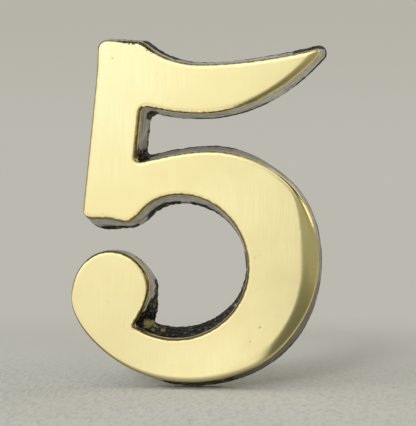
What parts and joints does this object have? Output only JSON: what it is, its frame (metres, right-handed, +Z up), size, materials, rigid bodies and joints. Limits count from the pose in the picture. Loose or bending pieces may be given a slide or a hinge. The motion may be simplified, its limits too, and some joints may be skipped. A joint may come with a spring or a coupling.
{
  "type": "door number",
  "caption": "Cast brass door numeral five with a polished face and rolled edges, leaning cast walls, and a relieved back with tapped bosses for concealed fixing.",
  "frame": {"origin": "midway between the two tapped fixing holes, in the plane of the back rim", "axes": "-Y out of the polished face, +Y out of the back towards the door, +Z up, +X to the reader's right"},
  "size_m": [0.0565, 0.008, 0.0771],
  "materials": {
    "cast_brass": "polished face, dull as-cast walls and back"
  },
  "bodies": {
    "root": {"numeral_five": "cast_brass"}
  },
  "joints": []
}
